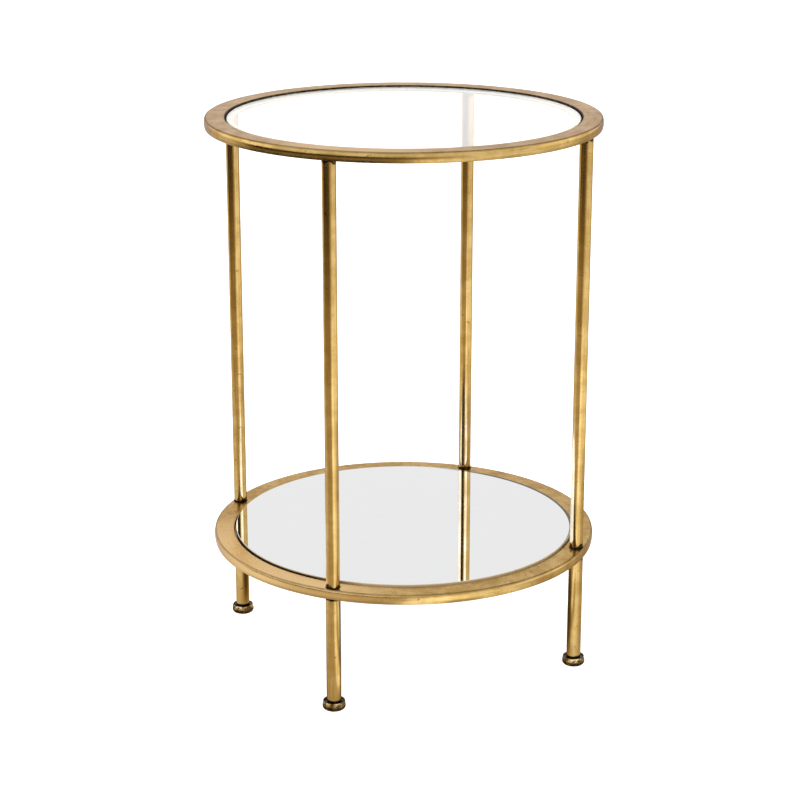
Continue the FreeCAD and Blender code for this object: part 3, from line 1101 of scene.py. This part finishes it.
def woven_film():
    """Grey film: sin x and sin y ridges of a fine scrim under a matt skin, with soft clouds of glue."""
    material, place = new_material("woven_film")
    scrim = {"Scale": SCRIM_SCALE, "Distortion": SCRIM_WANDER}
    waves = [node("TexWave", place, bands_direction=axis, **scrim) for axis in "XY"]
    weave = math_of("MAXIMUM", *(wave.outputs["Fac"] for wave in waves))
    clouds = noise(place, *GLUE)
    tone = blend(ramp(clouds, *MIDDLE), FILM_DEEP, FILM_LIGHT)
    tone = blend(times(weave, SCRIM_SHARE), tone, SCRIM_TONE)
    rough = ramp(weave, 0, 1, *FILM_ROUGHNESS)
    return principled(material, tone, rough, (*FILM_RELIEF, weave))


def dress(node_name, material):
    """Gives a CAD node that stays a better material."""
    data = frame["nodes"][node_name].data
    data.materials.clear()
    data.materials.append(material)


dress("mirror_film", woven_film())
HIDDEN_STEEL = (
    "top_studs", "joining_studs", "post_top_plugs", "post_bottom_plugs", "leg_top_plugs", "leg_bottom_plugs",
)
for part in HIDDEN_STEEL:
    dress(part, zinc)
print("dressed", len(HIDDEN_STEEL) + 1, "CAD nodes")

# %% [markdown]
# ## Floor
#
# The floor is a plain pale sheet, lit from below as well as from above, as on a light table. It lies a foot's
# full travel lower than the table stands, so that a foot that is screwed right out isn't buried in it, and it
# is clear from below, so that the underside can be looked at. Polished metal would show the sheet's far edge
# as a hard line, so reflections see the studio's own light instead.

# %% Pale floor
FLOOR_HALF = 14.0  # metres
FLOOR_GLOW = 0.72
FLOOR_ROUGHNESS = 0.7
FLOOR_CLOUDS = 3  # in a metre
FLOOR_DROP = 8.5 * MM  # a foot's travel and half a millimetre
FLOOR_DEEP, FLOOR_PALE = (0.90,) * 3, (0.92,) * 3
WHITE = (1, 1, 1, 1)


def pale_floor():
    """Pale matt sheet that glows a little, and is clear for whoever looks from below."""
    material, place = new_material("pale_floor")
    tone = blend(noise(place, FLOOR_CLOUDS), FLOOR_DEEP, FLOOR_PALE)
    matt = node(
        "BsdfPrincipled", Base_Color=tone, Roughness=FLOOR_ROUGHNESS,
        Emission_Color=WHITE, Emission_Strength=FLOOR_GLOW,
    )
    from_below = node("NewGeometry", near=place).outputs["Backfacing"]
    clear = node("BsdfTransparent", near=place).outputs[0]
    return finished(material, node("MixShader", from_below, matt.outputs[0], clear))


def flat_sheet(name, edge, material, drop):
    """One flat face inside an edge, a drop below the level that the table stands on."""
    mesh = bpy.data.meshes.new(name)
    mesh.from_pydata(edge, [], [tuple(range(len(edge)))])
    mesh.materials.append(material)
    made = bpy.data.objects.new(name, mesh)
    made.location.z = -drop
    scene.collection.objects.link(made)
    return made


floor_corners = np.array([[-1, -1, 0], [1, -1, 0], [1, 1, 0], [-1, 1, 0]]) * FLOOR_HALF
floor = flat_sheet("floor", floor_corners, pale_floor(), FLOOR_DROP)
floor.visible_glossy = False

# %% [markdown]
# ## Studio light
#
# Polished metal has no look of its own: it shows the room. The room here is a pale studio with a bright far
# wall and a dimmer ceiling. It is painted on the world by direction, patch over patch, each with an azimuth
# and an elevation. Azimuth 0 points to the camera and grows to the right. Two cool lamps and the dark side
# where the camera stands are kept for what the posts show by way of the mirror, so the mirror itself stays
# pale from every side.

# %% The studio walls, painted by direction
ROOM_LEVEL = 0.87
WALLS = {  # azimuth, half its width, lowest and highest elevation, softness, brightness
    "far wall": (180, 100, -10, 14, 6, 1.36),
    "ceiling": (0, 181, 44, 95, 8, 0.60),
}
LAMPS_IN_MIRROR = {  # the same, for what the posts show by way of the mirror
    "camera side": (-36, 26, 13, 60, 6, 0.01),
    "left lamp": (-112, 46, 13, 40, 8, 5.7),
    "right lamp": (24, 18, 13, 34, 6, 6.1),
}
LAMP_TINT = (0.31, 0.44, 1.0)  # cool daylight
BY_WAY_OF_MIRROR = 1.5  # more reflections than this are two at least


def sector(heading, azimuth, half, softness):
    """1 where a level heading is within half a width of an azimuth, falling to 0 across a soft edge."""
    angle = math.radians(azimuth)
    cosine = towards(heading, (math.sin(angle), -math.cos(angle), 0))
    aside = math_of("DEGREES", math_of("ARCCOSINE", cosine))
    return ramp(aside, half - softness, half + softness, 1.0, 0.0)


def lay_over(mask, light, brightness):
    """The light, replaced by a brightness where the mask is 1."""
    return node("Mix", mask, None, light, brightness, data_type="FLOAT").outputs[0]


# %% Patch over patch
def paint_studio(tree):
    """Colour and brightness of the studio in a direction: patches laid over each other with soft edges.

    The lamps show only by way of two reflections.
    """
    direction = node("TexCoord", near=tree).outputs["Generated"]
    turned = node("VectorRotate", direction, Angle=-CAMERA_TURN, rotation_type="Z_AXIS").outputs[0]
    level, rise = levelled(turned)
    heading = vector_of("NORMALIZE", level)
    elevation = math_of("DEGREES", math_of("ARCSINE", rise))
    light, lamps = ROOM_LEVEL, 0.0
    reflections = node("LightPath", near=tree).outputs["Glossy Depth"]
    twice = math_of("GREATER_THAN", reflections, BY_WAY_OF_MIRROR)
    for name, patch in {**WALLS, **LAMPS_IN_MIRROR}.items():
        azimuth, half, low, high, softness, brightness = patch
        mask = sector(heading, azimuth, half, softness)
        for edge, inside in ((low, 1), (high, -1)):
            start, end = edge - inside * softness, edge + inside * softness
            mask = times(mask, ramp(elevation, start, end))
        if name in LAMPS_IN_MIRROR:
            mask = times(mask, twice)
            lamps = math_of("MAXIMUM", lamps, mask)
        light = lay_over(mask, light, brightness)
    return blend(lamps, WHITE[:3], LAMP_TINT), light


# %% The world
world = bpy.data.worlds.new("studio")
scene.world = world
world.use_nodes = True
tree = world.node_tree
tree.nodes.clear()
room = node("Background", *paint_studio(tree)).outputs[0]
backdrop = node("Background", WHITE, 1.0, near=tree).outputs[0]
seen = node("LightPath", near=tree).outputs["Is Camera Ray"]
node("OutputWorld", node("MixShader", seen, room, backdrop).outputs[0])
print("studio patches", len(WALLS) + len(LAMPS_IN_MIRROR))

# %% [markdown]
# ## Studio floor in the metal
#
# Upright metal shows the studio floor as well: bright near the table and to its right, and falling off into
# brown dusk at the photographer's left, which draws a dark streak down each post. Lamps would be slow to set
# for that, so a sheet that only reflections see carries the fall-off, sector by sector.

# %% The studio floor that the metal shows
SHEET_RADIUS = 7.0  # metres
SHEET_DROP = 1 * MM
DUSK_REACH, DUSK_POWER = 1.87, 3.0
FLOOR_LIGHT = 0.60
DUSK_TINT = (1.0, 0.72, 0.30)
DUSK_LEVELS = (0.1, 1.0)
SHADE_INNER, SHADE_OUTER, SHADE_LEVEL = 0.09, 0.21, 0.12  # under the table
FAR_START, FAR_END, FAR_LEVEL = 1.2, 3.0, 0.8
PATCH_EDGE = 0.2  # share of a patch's reach over which it fades
SHEET_PATCHES = {  # azimuth, half its width, softness, reach in metres, brightness
    "right": (84, 68, 30, 9.0, 1.13),
    "right rear": (150, 38, 14, 9.0, 0.80),
    "left rear": (-145, 45, 14, 9.0, 1.0),
    "near right": (95, 35, 15, 0.8, 0.62),
    "near left": (-95, 32, 18, 0.9, 0.85),
    "front glow": (20, 14, 10, 1.4, 1.6),
    "leg glow": (5, 7, 5, 0.40, 1.4),
    "leg shade": (26, 10, 6, 0.36, 0.6),
}


def studio_sheet():
    """Floor light: level * exp(-(distance / reach)^power), with other sectors, and shade under the table."""
    material, place = new_material("studio_sheet")
    level, _ = levelled(place)
    heading = vector_of("NORMALIZE", level)
    distance = vector_of("LENGTH", level)
    fall = math_of("POWER", math_of("DIVIDE", distance, DUSK_REACH), DUSK_POWER)
    fall = math_of("EXPONENT", times(fall, -1.0))
    light = times(fall, FLOOR_LIGHT)
    for azimuth, half, softness, reach, brightness in SHEET_PATCHES.values():
        mask = sector(heading, azimuth, half, softness)
        start, end = (1 - PATCH_EDGE) * reach, (1 + PATCH_EDGE) * reach
        mask = times(mask, ramp(distance, start, end, 1.0, 0.0))
        light = lay_over(mask, light, brightness)
    light = times(light, ramp(distance, SHADE_INNER, SHADE_OUTER, SHADE_LEVEL, 1.0))
    light = times(light, ramp(distance, FAR_START, FAR_END, 1.0, FAR_LEVEL))
    tint = blend(ramp(light, *DUSK_LEVELS), DUSK_TINT, WHITE[:3])
    return finished(material, node("Emission", tint, light))


sheet_edge = revolve(np.array([[SHEET_RADIUS, 0]]))[0]
sheet = flat_sheet("studio_sheet", sheet_edge, studio_sheet(), SHEET_DROP)
sheet.rotation_euler.z = CAMERA_TURN
for ray in ("camera", "diffuse", "transmission", "volume_scatter", "shadow"):
    setattr(sheet, f"visible_{ray}", False)

# %% [markdown]
# ## Lamp overhead
#
# Plastic, silicone, ground glass and the floor mirror little. One large area lamp lights them without hard
# shadows, and reflections don't see it, so no bright square shows in the gold.

# %% A large soft lamp overhead
LAMP_SIZE = 3.0  # metres
LAMP_POWER = 60.0  # watts
LAMP_PLACE = (-0.6, -0.4, 2.6)
LAMP_TILT = (math.radians(-8), math.radians(-12), 0)
lamp_data = bpy.data.lights.new("overhead", "AREA")
lamp_data.size = LAMP_SIZE
lamp_data.energy = LAMP_POWER
lamp = bpy.data.objects.new("overhead", lamp_data)
lamp.location = LAMP_PLACE
lamp.rotation_euler = LAMP_TILT
lamp.visible_glossy = False
scene.collection.objects.link(lamp)
scene.view_settings.view_transform = "Standard"
print("lamp", LAMP_POWER, "W,", LAMP_PLACE[2], "m above the table's foot")
